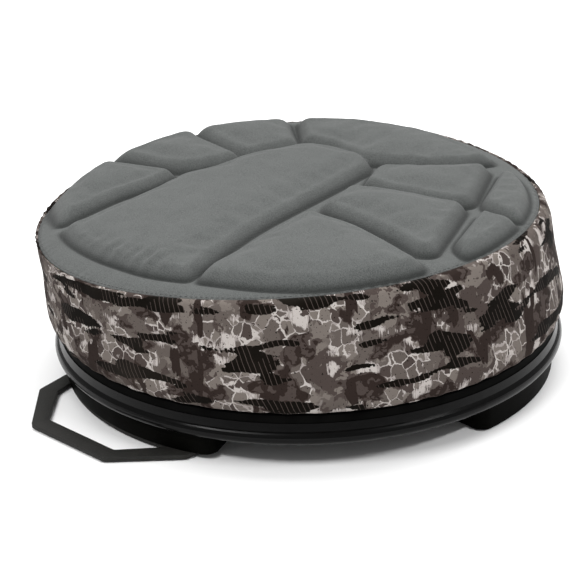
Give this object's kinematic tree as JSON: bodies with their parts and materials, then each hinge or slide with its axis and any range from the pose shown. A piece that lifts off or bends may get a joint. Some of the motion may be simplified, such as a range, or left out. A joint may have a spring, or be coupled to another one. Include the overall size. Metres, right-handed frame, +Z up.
{
  "type": "swivel ground seat",
  "caption": "Low round swivel seat for a hunting blind: padded panelled top, fabric side band, rolled-rim pan on a ball race, lobed moulded base and a flat carry handle.",
  "frame": {"origin": "on the floor, on the swivel axis: the centre of the centre foot's flat bottom", "axes": "+Z up along the swivel axis; -Y towards the carry handle, under the middle of its lobe; +X to the right when the seat is seen from the handle"},
  "size_m": [0.3829, 0.4173, 0.1365],
  "materials": {
    "pad_fabric": "matte",
    "band_fabric": "matte",
    "foam": "matte",
    "plywood": "matte",
    "plated_steel": "satin",
    "race_steel": "satin",
    "ball_steel": "polished",
    "pan_plastic": "satin",
    "base_plastic": "satin",
    "acetal": "satin",
    "rubber": "matte",
    "handle_paint": "matte",
    "screw_black": "satin"
  },
  "bodies": {
    "base": {"base_moulding": "base_plastic", "lower_race": "race_steel", "lower_race_screws": "plated_steel", "pivot_bolt": "plated_steel", "bolt_washer": "plated_steel", "nut_washer": "plated_steel", "lock_nut": "plated_steel", "glide_buttons": "acetal", "rubber_feet": "rubber", "centre_foot": "rubber", "carry_handle": "handle_paint", "handle_screws": "screw_black"},
    "seat": {"top_pad": "pad_fabric", "side_band": "band_fabric", "foam_core": "foam", "seat_board": "plywood", "tee_nuts": "plated_steel", "band_staples": "plated_steel", "cushion_screws": "plated_steel", "seat_pan": "pan_plastic", "edge_trim": "pan_plastic", "upper_race": "race_steel", "upper_race_screws": "plated_steel", "pivot_bush": "acetal"},
    "cage": {"ball_cage": "acetal", "bearing_balls": "ball_steel"}
  },
  "joints": [
    {"name": "swivel", "type": "hinge", "parent": "base", "child": "seat", "pos_m": [0, 0, 0.02], "axis": [0, 0, 1], "continuous": true},
    {"name": "cage_roll", "type": "hinge", "parent": "base", "child": "cage", "pos_m": [0, 0, 0.02], "axis": [0, 0, 1], "continuous": true}
  ],
  "couplings": [
    {"joint": "cage_roll", "follows": "swivel", "ratio": 0.5}
  ]
}
